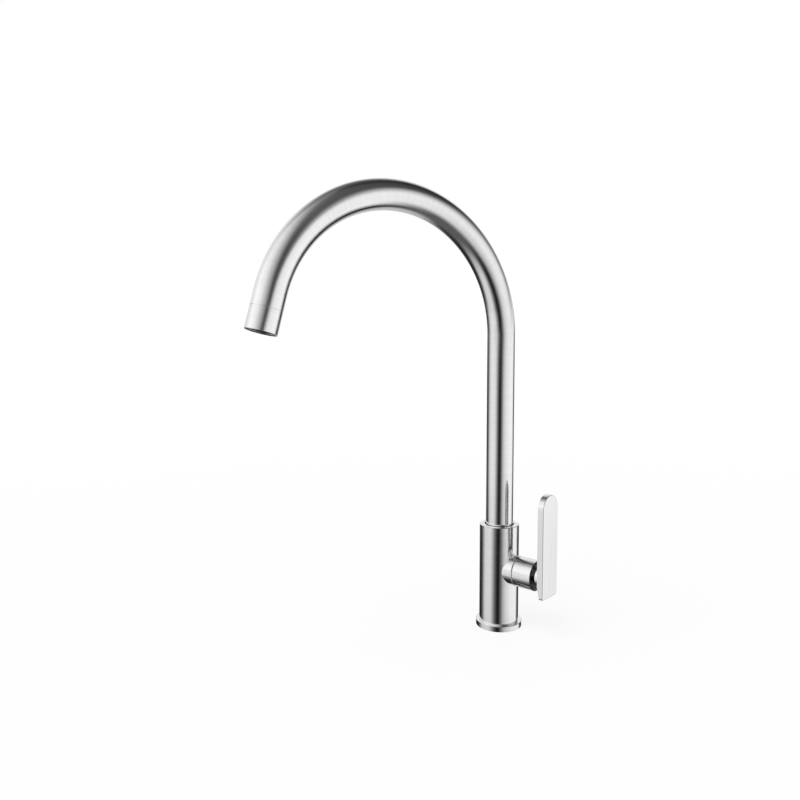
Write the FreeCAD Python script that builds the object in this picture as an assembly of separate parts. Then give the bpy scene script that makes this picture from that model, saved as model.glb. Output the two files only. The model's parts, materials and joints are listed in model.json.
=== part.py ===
import FreeCAD, Part
import math
import os

# Gooseneck bar faucet, in millimetres. +Z is up, z = 0 is the worktop, and the body's axis is Z.
# +X runs along the valve's axis, towards the lever, and -Y is the front.

# ---- clearances -------------------------------------------------------------------------------------
running_gap = 0.05        # radial, between pieces that turn in each other
joint_gap = 0.05          # radial, between screwed, pressed or brazed pieces
seal_gap = 0.02           # round a rubber ring in its groove
end_gap = 0.2             # along an axis, between pieces that turn against each other
seam_gap = 0.3            # the open seam between the boss and the lever's hub
seam_bevel = 0.4          # on both sides of that seam
edge_break = 0.3          # small chamfer on turned edges

# ---- gooseneck --------------------------------------------------------------------------------------
tube_radius = 12.5
tube_wall = 1.2
bend_radius = 112.0       # of the tube's centre line
spring_height = 271.5     # where the upright run ends and the bend begins
bend_angle = 165.0
outlet_run = 30.0         # straight centre line after the bend, to the tip
spout_rest_angle = -106.5 # of the spout about Z, from the lever's axis
tube_engagement = 12.0    # of the tube, inside the body's socket

# ---- outlet and aerator -----------------------------------------------------------------------------
sleeve_length = 18.0
sleeve_spigot = 6.0       # of the sleeve, up inside the tube
outlet_wall = 1.5         # round the aerator's thread
aerator_recess = 1.2
aerator_wall = 1.9
aerator_lip = 0.8
washer_thickness = 1.2
screen_thickness = 0.5
diffuser_plate = 1.2
diffuser_height = 3.4
grid_thickness = 3.0
grid_pitch = 2.0
grid_bar = 0.5
screen_pitch = 1.6
screen_bar = 0.5
diffuser_slots = 12
slot_width = 0.7

# ---- body -------------------------------------------------------------------------------------------
valve_height = 55.0       # of the valve's axis
socket_depth = 29.0       # for the spout's tail
socket_wall = 5.65
socket_floor = 2.4        # metal between the valve chamber and the socket
boss_length = 3.8         # of the boss, past the body's side
rim_recess_width = 1.1    # of the open groove round the tube, in the body's top
rim_recess_depth = 2.0
flange_height = 5.0
flange_overhang = 3.0
foot_depth = 3.5          # of the body's foot, inside the flange
foot_wall = 4.5
gasket_depth = 1.8
gasket_margin = 1.5

# ---- spout tail -------------------------------------------------------------------------------------
tail_relief = 0.1         # the tail is this much smaller than the tube
tail_spigot = 8.0         # of the tail, up inside the tube
tail_wall = 4.0           # from the tube's outside to the tail's bore
thrust_thickness = 1.5
ring_section = 0.78       # radius of a tail O-ring's section
ring_groove_width = 2.2
stop_groove_width = 3.2
stop_groove_depth = 1.6
stop_screw_radius = 2.5
stop_screw_point = 1.3    # radius of its dog point

# ---- valve ------------------------------------------------------------------------------------------
cage_thread_radius = 10.15
cage_barrel_radius = 8.2
cage_bore_radius = 6.9
chamber_depth = 24.0      # from the boss's face to the chamber's floor
chamber_annulus = 1.4     # room for water round the cage's barrel
seat_seal_thickness = 2.0
seat_seal_width = 2.6
disc_thickness = 3.0
disc_seat = 0.3           # from the cage's end to the fixed disc
disc_port_radius = 5.2
disc_web_radius = 1.5
disc_port_angle = 70.0
disc_key_width = 2.0
disc_key_depth = 0.8
window_length = 4.5
window_angle = 60.0
cage_flange_lip = 1.35
cage_flange_thickness = 2.0
cage_hex_flats = 17.0
cage_hex_length = 4.0
snout_wall = 1.35
snout_end = 11.5          # past the boss's face
seal_zone_end = 3.0       # past the boss's face
seal_zone_radius = 4.95
stem_radius = 4.0
stem_ring_section = 0.62
stem_ring_groove_width = 1.7
tongue_length = 8.4
tongue_width = 2.6
tongue_depth = 1.4        # into the turning disc
driver_radius = 3.0
circlip_thickness = 1.0
circlip_height = 1.2
circlip_opening = 60.0
circlip_clearance = 0.4   # to the hub's end wall
spline_teeth = 12
spline_depth = 0.4

# ---- lever ------------------------------------------------------------------------------------------
skirt_clearance = 0.5     # between the hub and the cage's flange
skirt_wall = 1.6
hub_end_wall = 6.4
hub_end_bevel = 0.8
neck_length = 6.3
neck_wall = 0.9           # of the neck, outside its screws
plate_thickness = 5.7
plate_half_width = 12.3
plate_top = 75.5          # above the valve's axis
plate_foot = 16.6         # below the valve's axis
plate_corner = 1.6
plate_edge = 0.6
foot_taper_height = 11.6
foot_taper_depth = 2.2
plate_screw_margin = 0.3  # from the screw's head to the circlip, and to the skirt at least
plate_screw_radius = 1.25
plate_screw_head_radius = 2.25
plate_screw_bite = 3.2
grub_radius = 2.0
grub_length = 6.0
plug_thickness = 1.0
plug_recess = 0.15

# ---- tail under the worktop -------------------------------------------------------------------------
deck_thickness = 20.0
shank_radius = 10.478     # G 1/2 thread, at its major diameter
shank_bore_radius = 7.0
shank_engagement = 13.0   # of the shank, inside the body
shank_seal_thickness = 1.5
shank_seal_width = 2.8
rubber_washer_thickness = 3.0
steel_washer_thickness = 1.8
washer_width = 7.0
nut_flats = 27.0
nut_height = 9.0
nut_to_groove = 1.7
groove_length = 2.5
groove_depth = 1.1
inlet_length = 15.0       # thread left free for the supply
shank_chamfer = 1.0
gallery_height = 5.0      # of the water space over the shank
inlet_passage_radius = 3.0
passage_web = 1.5
antechamber_radius = 4.6
riser_radius = 4.5

# ---- sizes that follow from the ones above ----------------------------------------------------------
socket_radius = tube_radius + running_gap
body_radius = socket_radius + socket_wall
chamber_radius = cage_barrel_radius + chamber_annulus
socket_floor_z = valve_height + chamber_radius + socket_floor
body_top = socket_floor_z + socket_depth
flange_radius = body_radius + flange_overhang
foot_radius = shank_radius + foot_wall
foot_bottom = flange_height - foot_depth
shank_top = foot_bottom + shank_engagement
seal_top = shank_top + shank_seal_thickness
gallery_top = seal_top + gallery_height

seam_x = body_radius + boss_length
chamber_floor_x = seam_x - chamber_depth
cage_start_x = chamber_floor_x + seat_seal_thickness
fixed_disc_x = cage_start_x + disc_seat
turning_disc_x = fixed_disc_x + disc_thickness + running_gap
turning_disc_end_x = turning_disc_x + disc_thickness
window_x = turning_disc_end_x + disc_seat
window_end_x = window_x + window_length
cage_thread_x = window_end_x + disc_seat
seal_zone_x = window_end_x + passage_web
cage_ring_groove = 2 * (stem_ring_section + seal_gap)
cage_ring_floor = cage_thread_radius - 2 * stem_ring_section
cage_flange_radius = cage_thread_radius + cage_flange_lip
cage_hex_x = seam_x + cage_flange_thickness
cage_hex_end_x = cage_hex_x + cage_hex_length
snout_end_x = seam_x + snout_end
snout_radius = stem_radius + running_gap + snout_wall
seal_zone_end_x = seam_x + seal_zone_end
disc_radius = cage_bore_radius - joint_gap
inlet_passage_x = chamber_floor_x - passage_web - inlet_passage_radius
riser_x = window_x + riser_radius - window_length / 2

circlip_radius = stem_radius - circlip_height / 2 + seal_gap + circlip_height
circlip_x = snout_end_x + end_gap
hub_wall_x = circlip_x + circlip_thickness + circlip_clearance
# the paddle screws' heads stand beside the circlip, and reach no further than it
plate_screw_head_height = hub_wall_x - circlip_x
plate_screw_offset = circlip_radius + plate_screw_margin + plate_screw_head_radius
screw_ring_radius = plate_screw_offset + plate_screw_head_radius + plate_screw_margin
# the skirt clears the cage's flange, and the screw heads that stand round the circlip
skirt_radius = max(cage_flange_radius + skirt_clearance, screw_ring_radius)
hub_radius = skirt_radius + skirt_wall
hub_x = seam_x + seam_gap
hub_end_x = hub_wall_x + hub_end_wall
neck_radius = plate_screw_offset + plate_screw_radius + joint_gap + neck_wall
plate_x = hub_end_x + neck_length
plate_end_x = plate_x + plate_thickness
grub_x = hub_wall_x + hub_end_wall / 2

tail_bottom = socket_floor_z + thrust_thickness + running_gap
tube_bottom = body_top - tube_engagement
tail_radius = tube_radius - tail_relief
tail_bore_radius = tube_radius - tail_wall
tube_bore_radius = tube_radius - tube_wall
ring_groove_radius = socket_radius - running_gap - 2 * ring_section - seal_gap
tail_length = tube_bottom - tail_bottom
lower_ring_z = tail_bottom + tail_length / 5
stop_groove_z = tail_bottom + tail_length / 2
upper_ring_z = tube_bottom - tail_length / 5

aerator_thread_radius = tube_radius - outlet_wall
aerator_radius = aerator_thread_radius - joint_gap
aerator_bore_radius = aerator_radius - aerator_wall
aerator_fill_radius = aerator_bore_radius - joint_gap
sleeve_spigot_radius = tube_bore_radius - joint_gap
sleeve_bore_radius = aerator_bore_radius
aerator_bottom = -aerator_recess
grid_bottom = aerator_bottom - aerator_lip
grid_top = grid_bottom - grid_thickness
diffuser_top = grid_top - diffuser_height
screen_top = diffuser_top - screen_thickness
washer_bottom = screen_top
washer_top = washer_bottom - washer_thickness

washer_bore_radius = shank_radius + edge_break
washer_radius = shank_radius + washer_width
rubber_bottom = -deck_thickness - rubber_washer_thickness
washer_stack_bottom = rubber_bottom - steel_washer_thickness
nut_bottom = washer_stack_bottom - nut_height
groove_top = nut_bottom - nut_to_groove
groove_bottom = groove_top - groove_length
shank_bottom = groove_bottom - inlet_length

up = FreeCAD.Vector(0, 0, 1)
lever_way = FreeCAD.Vector(1, 0, 0)


# ---- shapes that many pieces share ------------------------------------------------------------------
def rod(radius, low, high, x=0.0, y=0.0):
    """An upright round bar from low to high."""
    return Part.makeCylinder(radius, high - low, FreeCAD.Vector(x, y, low), up)


def ring(inner, outer, low, high):
    return rod(outer, low, high).cut(rod(inner, low, high))


def shaft(radius, start, end, y=0.0):
    """A round bar along the valve's axis, from x = start to x = end."""
    return Part.makeCylinder(radius, end - start, FreeCAD.Vector(start, y, valve_height), lever_way)


def collar(inner, outer, start, end):
    return shaft(outer, start, end).cut(shaft(inner, start, end))


def fused(shapes):
    whole = shapes[0]
    for shape in shapes[1:]:
        whole = whole.fuse(shape)
    return whole.removeSplitter()


def without(shape, cuts):
    for cut in cuts:
        shape = shape.cut(cut)
    return shape


def hexagon(flats, low, high):
    """An upright hexagonal prism, flats apart."""
    corner = flats / math.sqrt(3)
    points = []
    for i in range(7):
        angle = math.radians(60 * i)
        points.append(FreeCAD.Vector(corner * math.cos(angle), corner * math.sin(angle), low))
    return Part.Face(Part.makePolygon(points)).extrude(up * (high - low))


def to_valve(shape, start):
    """Lays an upright shape along the valve's axis, its z = 0 at x = start."""
    turn = FreeCAD.Rotation(FreeCAD.Vector(0, 1, 0), 90)
    return moved(shape, FreeCAD.Placement(FreeCAD.Vector(start, 0, valve_height), turn))


def moved(shape, placement):
    copy = shape.copy()
    copy.Placement = placement.multiply(copy.Placement)
    return copy


def circle_edges(shape, radius, height):
    """The round edges of the given radius about Z, at the given height."""
    found = []
    for edge in shape.Edges:
        if isinstance(edge.Curve, Part.Circle) and len(edge.Vertexes) == 1:
            centre = edge.Curve.Center
            on_axis = math.hypot(centre.x, centre.y) < 1e-6
            if on_axis and abs(edge.Curve.Radius - radius) < 1e-6 and abs(centre.z - height) < 1e-6:
                found.append(edge)
    return found


def broken(shape, radius, height, size=edge_break):
    return shape.makeChamfer(size, circle_edges(shape, radius, height))


# ---- gooseneck --------------------------------------------------------------------------------------
def to_spout(shape):
    """Turns a shape drawn with the spout along +X to the spout's rest direction."""
    turn = FreeCAD.Rotation(up, spout_rest_angle)
    return moved(shape, FreeCAD.Placement(FreeCAD.Vector(), turn))


def to_outlet(shape):
    """Takes an upright shape to the outlet: its z = 0 at the tip, +Z with the flow."""
    angle = math.radians(bend_angle)
    way = FreeCAD.Vector(math.sin(angle), 0, math.cos(angle))
    bend_end = FreeCAD.Vector(bend_radius * (1 - math.cos(angle)), 0,
                              spring_height + bend_radius * math.sin(angle))
    turn = FreeCAD.Rotation(FreeCAD.Vector(0, 1, 0), bend_angle)
    return to_spout(moved(shape, FreeCAD.Placement(bend_end + way * outlet_run, turn)))


def gooseneck(radius):
    """A bent bar along the tube's centre line, from the socket to the sleeve."""
    upright = rod(radius, tube_bottom, spring_height)
    section = Part.Face(Part.Wire(Part.makeCircle(radius, FreeCAD.Vector(0, 0, spring_height), up)))
    centre = FreeCAD.Vector(bend_radius, 0, spring_height)
    bend = section.revolve(centre, FreeCAD.Vector(0, 1, 0), bend_angle)
    straight = to_outlet(rod(radius, -outlet_run, -sleeve_length))
    return fused([to_spout(upright), to_spout(bend), straight])


def spout_tube():
    return gooseneck(tube_radius).cut(gooseneck(tube_bore_radius))


def spout_tail():
    """The turned end that is brazed into the tube and swivels in the socket."""
    spigot = rod(tube_bore_radius - joint_gap, tube_bottom, tube_bottom + tail_spigot)
    bar = fused([rod(tail_radius, tail_bottom, tube_bottom), spigot])
    cuts = [rod(tail_bore_radius, tail_bottom, tube_bottom + tail_spigot)]
    for z in (lower_ring_z, upper_ring_z):
        half = ring_groove_width / 2
        cuts.append(ring(ring_groove_radius, tube_radius, z - half, z + half))
    half = stop_groove_width / 2
    floor_radius = tail_radius - stop_groove_depth
    cuts.append(ring(floor_radius, tube_radius, stop_groove_z - half, stop_groove_z + half))
    return without(bar, cuts)


def tail_o_rings():
    centre_radius = socket_radius - running_gap - ring_section
    rings = []
    for z in (lower_ring_z, upper_ring_z):
        rings.append(Part.makeTorus(centre_radius, ring_section, FreeCAD.Vector(0, 0, z), up))
    return Part.makeCompound(rings)


def thrust_ring():
    return ring(tail_bore_radius, socket_radius - joint_gap, socket_floor_z,
                socket_floor_z + thrust_thickness)


# ---- outlet and aerator: drawn upright, with z = 0 at the tip and the tube above at z < 0 -----------
def outlet_sleeve():
    outside = fused([
        rod(tube_radius, -sleeve_length, 0),
        rod(sleeve_spigot_radius, -sleeve_length - sleeve_spigot, -sleeve_length),
    ])
    outside = broken(outside, tube_radius, 0)
    outside = broken(outside, tube_radius, -sleeve_length, edge_break / 2)
    cuts = [
        rod(sleeve_bore_radius, -sleeve_length - sleeve_spigot, 0),
        rod(aerator_thread_radius, washer_top, 0),
    ]
    return to_outlet(without(outside, cuts))


def aerator_housing():
    cup = rod(aerator_radius, washer_bottom, aerator_bottom)
    cuts = [
        rod(aerator_bore_radius, washer_bottom, grid_bottom),
        rod(aerator_bore_radius - aerator_lip, grid_bottom, aerator_bottom),
    ]
    return to_outlet(without(cup, cuts))


def mesh_disc(radius, rim, low, high, pitch, bar):
    """A round plate with square openings inside its rim."""
    plate = rod(radius, low, high)
    hole = pitch - bar
    count = int(radius / pitch) + 1
    holes = []
    for i in range(-count, count + 1):
        for j in range(-count, count + 1):
            far_corner = math.hypot(abs(i) * pitch + hole / 2, abs(j) * pitch + hole / 2)
            if far_corner <= radius - rim:
                corner = FreeCAD.Vector(i * pitch - hole / 2, j * pitch - hole / 2, low)
                holes.append(Part.makeBox(hole, hole, high - low, corner))
    return plate.cut(Part.makeCompound(holes))


def aerator_grid():
    disc = mesh_disc(aerator_fill_radius, aerator_lip, grid_top, grid_bottom, grid_pitch, grid_bar)
    return to_outlet(disc)


def aerator_diffuser():
    """A slotted plate on a rim that stands on the grid."""
    plate = rod(aerator_fill_radius, diffuser_top, diffuser_top + diffuser_plate)
    rim = ring(aerator_fill_radius - aerator_lip, aerator_fill_radius, diffuser_top, grid_top)
    inner = aerator_fill_radius / 3
    length = aerator_fill_radius - 2 * aerator_lip - inner
    slots = []
    for i in range(diffuser_slots):
        slot = Part.makeBox(length, slot_width, diffuser_plate,
                            FreeCAD.Vector(inner, -slot_width / 2, diffuser_top))
        slot.rotate(FreeCAD.Vector(), up, 360 * i / diffuser_slots)
        slots.append(slot)
    return to_outlet(fused([plate, rim]).cut(Part.makeCompound(slots)))


def aerator_screen():
    disc = mesh_disc(aerator_fill_radius, aerator_lip, screen_top, diffuser_top, screen_pitch,
                     screen_bar)
    return to_outlet(disc)


def aerator_washer():
    return to_outlet(ring(sleeve_bore_radius, aerator_radius, washer_top, washer_bottom))


# ---- body and what clamps it ------------------------------------------------------------------------
def body_shell():
    """The body with its boss, the spout's socket, the valve chamber and the water ways."""
    barrel = broken(rod(body_radius, flange_height, body_top), body_radius, body_top)
    boss = broken(rod(hub_radius, 0, seam_x), hub_radius, seam_x, seam_bevel)
    outside = fused([barrel, rod(foot_radius, foot_bottom, flange_height), to_valve(boss, 0)])
    cuts = [
        rod(socket_radius, socket_floor_z, body_top),
        rod(tube_radius + rim_recess_width, body_top - rim_recess_depth, body_top),
        shaft(cage_thread_radius + joint_gap, cage_thread_x, seam_x),
        shaft(chamber_radius, chamber_floor_x, cage_thread_x),
        shaft(antechamber_radius, inlet_passage_x - inlet_passage_radius, chamber_floor_x),
        rod(inlet_passage_radius, gallery_top, valve_height, inlet_passage_x),
        rod(shank_radius + joint_gap, foot_bottom, seal_top),
        rod(shank_radius - groove_depth, seal_top, gallery_top),
        rod(riser_radius, valve_height, socket_floor_z, riser_x),
        stop_screw_hole(),
    ]
    return without(outside, cuts)


def base_flange():
    disc = broken(rod(flange_radius, 0, flange_height), flange_radius, flange_height)
    groove = ring(foot_radius + joint_gap + gasket_margin, flange_radius - gasket_margin, 0, gasket_depth)
    return without(disc, [rod(foot_radius + joint_gap, 0, flange_height), groove])


def base_gasket():
    inner = foot_radius + joint_gap + gasket_margin + joint_gap
    return ring(inner, flange_radius - gasket_margin - joint_gap, 0, gasket_depth)


def threaded_shank():
    bar = broken(rod(shank_radius, shank_bottom, shank_top), shank_radius, shank_bottom, shank_chamfer)
    cuts = [
        rod(shank_bore_radius, shank_bottom, shank_top),
        ring(shank_radius - groove_depth, shank_radius + 1, groove_bottom, groove_top),
    ]
    return without(bar, cuts)


def shank_seal():
    outer = shank_radius - joint_gap
    return ring(outer - shank_seal_width, outer, shank_top, seal_top)


def rubber_washer():
    return ring(washer_bore_radius, washer_radius, rubber_bottom, -deck_thickness)


def steel_washer():
    return ring(washer_bore_radius, washer_radius, washer_stack_bottom, rubber_bottom)


def clamp_nut():
    """A hexagon nut with its corners turned off at both ends."""
    corner = nut_flats / math.sqrt(3)
    turned = rod(corner, nut_bottom, washer_stack_bottom)
    for height in (nut_bottom, washer_stack_bottom):
        turned = broken(turned, corner, height, edge_break * 3)
    prism = hexagon(nut_flats, nut_bottom, washer_stack_bottom).common(turned)
    return prism.cut(rod(shank_radius + joint_gap, nut_bottom, washer_stack_bottom))


def to_back(shape):
    """Lays an upright shape along +Y at the stop groove's height, its z = 0 on the body's axis."""
    turn = FreeCAD.Rotation(lever_way, -90)
    return moved(shape, FreeCAD.Placement(FreeCAD.Vector(0, 0, stop_groove_z), turn))


def stop_screw_hole():
    return to_back(rod(stop_screw_radius + joint_gap, 0, body_radius + 1))


def spout_stop_screw():
    """A set screw in the back of the body, its dog point in the tail's groove."""
    tip = tail_radius - stop_groove_depth + end_gap
    shoulder = socket_radius + end_gap
    head = body_radius - end_gap - edge_break
    screw = fused([rod(stop_screw_point, tip, shoulder), rod(stop_screw_radius, shoulder, head)])
    socket = hexagon(stop_screw_radius, head - stop_screw_radius, head)
    return to_back(screw.cut(socket))


# ---- valve ------------------------------------------------------------------------------------------
def sector(radius, start_x, end_x, centre_angle, width_angle):
    """A pie slice about the valve's axis, its middle at centre_angle from straight up."""
    slice_ = Part.makeCylinder(radius, end_x - start_x, FreeCAD.Vector(), up, width_angle)
    slice_.rotate(FreeCAD.Vector(), up, 180 + centre_angle - width_angle / 2)
    return to_valve(slice_, start_x)


def key_bar(width, start_x, end_x, reach):
    """A flat bar across the valve's axis, lying level."""
    corner = FreeCAD.Vector(start_x, -reach, valve_height - width / 2)
    return Part.makeBox(end_x - start_x, 2 * reach, width, corner)


def valve_cage():
    """The screwed-in headwork: barrel with windows, thread, flange, hexagon and snout."""
    outside = fused([
        shaft(cage_barrel_radius, cage_start_x, cage_thread_x),
        shaft(cage_thread_radius, cage_thread_x, seam_x),
        shaft(cage_flange_radius, seam_x, cage_hex_x),
        to_valve(hexagon(cage_hex_flats, 0, cage_hex_length), cage_hex_x),
        shaft(snout_radius, cage_hex_end_x, snout_end_x),
    ])
    key_reach = cage_bore_radius + disc_key_depth
    cuts = [
        shaft(cage_bore_radius, cage_start_x, seal_zone_x),
        shaft(seal_zone_radius + running_gap, seal_zone_x, seal_zone_end_x),
        shaft(stem_radius + running_gap, seal_zone_end_x, snout_end_x),
        key_bar(disc_key_width + 2 * joint_gap, cage_start_x, fixed_disc_x + disc_thickness, key_reach),
        collar(cage_ring_floor, cage_thread_radius + 1, seam_x - cage_ring_groove, seam_x),
    ]
    for angle in (0, 180):
        cuts.append(sector(cage_thread_radius, window_x, window_end_x, angle, window_angle))
    return without(outside, cuts)


def cage_o_ring():
    centre_radius = cage_thread_radius - stem_ring_section + seal_gap
    centre = FreeCAD.Vector(seam_x - cage_ring_groove / 2, 0, valve_height)
    return Part.makeTorus(centre_radius, stem_ring_section, centre, lever_way)


def seat_seal():
    outer = cage_barrel_radius - joint_gap
    return collar(outer - seat_seal_width, outer, chamber_floor_x, cage_start_x)


def ported_disc(start_x, first_port_angle):
    """A ceramic disc with two opposite ports."""
    end_x = start_x + disc_thickness
    cuts = []
    for angle in (first_port_angle, first_port_angle + 180):
        port = sector(disc_port_radius, start_x, end_x, angle, disc_port_angle)
        cuts.append(port.cut(shaft(disc_web_radius, start_x, end_x)))
    return without(shaft(disc_radius, start_x, end_x), cuts)


def fixed_disc():
    """The disc with keys that sit in the cage's slots."""
    key_reach = disc_radius + disc_key_depth
    keys = key_bar(disc_key_width, fixed_disc_x, fixed_disc_x + disc_thickness, key_reach)
    rim = collar(disc_radius - 1, disc_radius + 1, fixed_disc_x, fixed_disc_x + disc_thickness)
    return fused([ported_disc(fixed_disc_x, 0), keys.common(rim)])


def turning_disc():
    """The disc that closes the fixed disc's ports at rest, with a slot for the spindle's tongue."""
    slot_start = turning_disc_end_x - tongue_depth - joint_gap
    slot = tongue_bar(tongue_width + 2 * joint_gap, slot_start, turning_disc_end_x,
                      tongue_length / 2 + joint_gap)
    return ported_disc(turning_disc_x, 90).cut(slot)


def tongue_bar(width, start_x, end_x, reach):
    """A flat bar across the valve's axis, standing up."""
    corner = FreeCAD.Vector(start_x, -width / 2, valve_height - reach)
    return Part.makeBox(end_x - start_x, width, 2 * reach, corner)


def spline_bar(root, tip, length):
    """An upright toothed bar."""
    points = []
    step = 360 / spline_teeth
    for i in range(spline_teeth):
        for radius, part in ((root, 0.1), (root, 0.35), (tip, 0.5), (tip, 0.95)):
            angle = math.radians(step * (i + part))
            points.append(FreeCAD.Vector(radius * math.cos(angle), radius * math.sin(angle), 0))
    points.append(points[0])
    return Part.Face(Part.makePolygon(points)).extrude(up * length)


def stem_ring_places():
    length = seal_zone_end_x - seal_zone_x
    return (seal_zone_x + length / 3, seal_zone_x + 2 * length / 3)


def valve_spindle():
    """Tongue, driver, sealed body, stem and splined end."""
    stem_end = circlip_x + circlip_thickness + end_gap
    sealed_end = seal_zone_end_x - end_gap
    tongue = tongue_bar(tongue_width, turning_disc_end_x - tongue_depth, turning_disc_end_x + end_gap,
                        tongue_length / 2)
    spline = to_valve(spline_bar(stem_radius - spline_depth, stem_radius, hub_end_x - end_gap - stem_end),
                      stem_end)
    bar = fused([
        tongue,
        shaft(driver_radius, turning_disc_end_x + running_gap, seal_zone_x),
        shaft(seal_zone_radius, seal_zone_x, sealed_end),
        shaft(stem_radius, sealed_end, stem_end),
        spline,
    ])
    cuts = [collar(stem_radius - circlip_height / 2, stem_radius + 1, circlip_x,
                   circlip_x + circlip_thickness)]
    for x in stem_ring_places():
        half = stem_ring_groove_width / 2
        floor_radius = seal_zone_radius - 2 * stem_ring_section - seal_gap
        cuts.append(collar(floor_radius, seal_zone_radius + 1, x - half, x + half))
    return without(bar, cuts)


def spindle_o_rings():
    rings = []
    for x in stem_ring_places():
        centre = FreeCAD.Vector(x, 0, valve_height)
        rings.append(Part.makeTorus(seal_zone_radius - stem_ring_section, stem_ring_section, centre,
                                    lever_way))
    return Part.makeCompound(rings)


def spindle_circlip():
    """An open spring ring in the stem's groove, outside the snout."""
    start = circlip_x + seal_gap
    end = circlip_x + circlip_thickness - seal_gap
    full = collar(circlip_radius - circlip_height, circlip_radius, start, end)
    return full.cut(sector(circlip_radius + circlip_height, start, end, 0, circlip_opening))


# ---- lever ------------------------------------------------------------------------------------------
def plate_screw_holes(radius, start_x, end_x):
    return [shaft(radius, start_x, end_x, side * plate_screw_offset) for side in (-1, 1)]


def to_underside(shape):
    """Points an upright shape down from the valve's axis at the grub screw, its z = 0 on the axis."""
    turn = FreeCAD.Rotation(lever_way, 180)
    return moved(shape, FreeCAD.Placement(FreeCAD.Vector(grub_x, 0, valve_height), turn))


def lever_hub():
    """A cup over the cage's hexagon, with the spline's bore in its end wall."""
    length = hub_end_x - hub_x
    outside = broken(rod(hub_radius, 0, length), hub_radius, 0, seam_bevel)
    outside = broken(outside, hub_radius, length, hub_end_bevel)
    bore = spline_bar(stem_radius - spline_depth + joint_gap, stem_radius + joint_gap, hub_end_wall)
    cuts = [
        shaft(skirt_radius, hub_x, hub_wall_x),
        to_valve(bore, hub_wall_x),
        to_underside(rod(grub_radius + joint_gap, 0, hub_radius + 1)),
    ]
    cuts += plate_screw_holes(plate_screw_radius + joint_gap, hub_wall_x, hub_end_x)
    return without(to_valve(outside, hub_x), cuts)


def grub_screw():
    tip = stem_radius + joint_gap
    screw = broken(rod(grub_radius, tip, tip + grub_length), grub_radius, tip, edge_break)
    socket = hexagon(grub_radius, tip + grub_length - grub_radius, tip + grub_length)
    return to_underside(screw.cut(socket))


def grub_plug():
    outer = hub_radius - plug_recess
    return to_underside(rod(grub_radius, outer - plug_thickness, outer))


def neck_ring():
    """The short bar that stands the paddle off the hub."""
    holes = plate_screw_holes(plate_screw_radius + joint_gap, hub_end_x, plate_x)
    return without(shaft(neck_radius, hub_end_x, plate_x), holes)


def lever_plate():
    """A flat paddle: round top, square foot with small corners, thinned behind the foot."""
    half = plate_half_width
    low = valve_height - plate_foot
    arc_z = valve_height + plate_top - half
    low_left = FreeCAD.Vector(plate_x, half, low)
    low_right = FreeCAD.Vector(plate_x, -half, low)
    high_left = FreeCAD.Vector(plate_x, half, arc_z)
    high_right = FreeCAD.Vector(plate_x, -half, arc_z)
    top = FreeCAD.Vector(plate_x, 0, arc_z + half)
    outline = Part.Wire([
        Part.LineSegment(low_left, low_right).toShape(),
        Part.LineSegment(low_right, high_right).toShape(),
        Part.Arc(high_right, top, high_left).toShape(),
        Part.LineSegment(high_left, low_left).toShape(),
    ])
    plate = Part.Face(outline).extrude(lever_way * plate_thickness)
    corners = []
    for edge in plate.Edges:
        box = edge.BoundBox
        if box.XLength > plate_thickness / 2 and box.ZMax < low + 1:
            corners.append(edge)
    plate = plate.makeFillet(plate_corner, corners)
    plate = plate.cut(foot_taper(low))
    face_edges = []
    for edge in plate.Edges:
        box = edge.BoundBox
        if abs(box.XMin - plate_end_x) < 1e-6:
            face_edges.append(edge)
    plate = plate.makeFillet(plate_edge, face_edges)
    bite_end = plate_x + plate_screw_bite + end_gap
    return without(plate, plate_screw_holes(plate_screw_radius, plate_x, bite_end))


def foot_taper(low):
    """The wedge that is taken off the inner face at the paddle's foot, all but the neck's seat."""
    y = -plate_half_width - 1
    points = [
        FreeCAD.Vector(plate_x, y, low + foot_taper_height),
        FreeCAD.Vector(plate_x + foot_taper_depth, y, low),
        FreeCAD.Vector(plate_x - 1, y, low),
        FreeCAD.Vector(plate_x - 1, y, low + foot_taper_height),
    ]
    points.append(points[0])
    wedge = Part.Face(Part.makePolygon(points)).extrude(FreeCAD.Vector(0, 2 * plate_half_width + 2, 0))
    return wedge.cut(shaft(neck_radius, plate_x - 1, plate_x + foot_taper_depth))


def plate_screws():
    """Two screws from inside the hub into the paddle."""
    screws = []
    for side in (-1, 1):
        y = side * plate_screw_offset
        head = shaft(plate_screw_head_radius, hub_wall_x - plate_screw_head_height, hub_wall_x, y)
        thread = shaft(plate_screw_radius - joint_gap, hub_wall_x, plate_x + plate_screw_bite, y)
        recess = to_valve(hexagon(plate_screw_radius, 0, plate_screw_head_height * 2 / 3),
                          hub_wall_x - plate_screw_head_height)
        recess.translate(FreeCAD.Vector(0, y, 0))
        screws.append(fused([head, thread]).cut(recess))
    return Part.makeCompound(screws)


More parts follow.
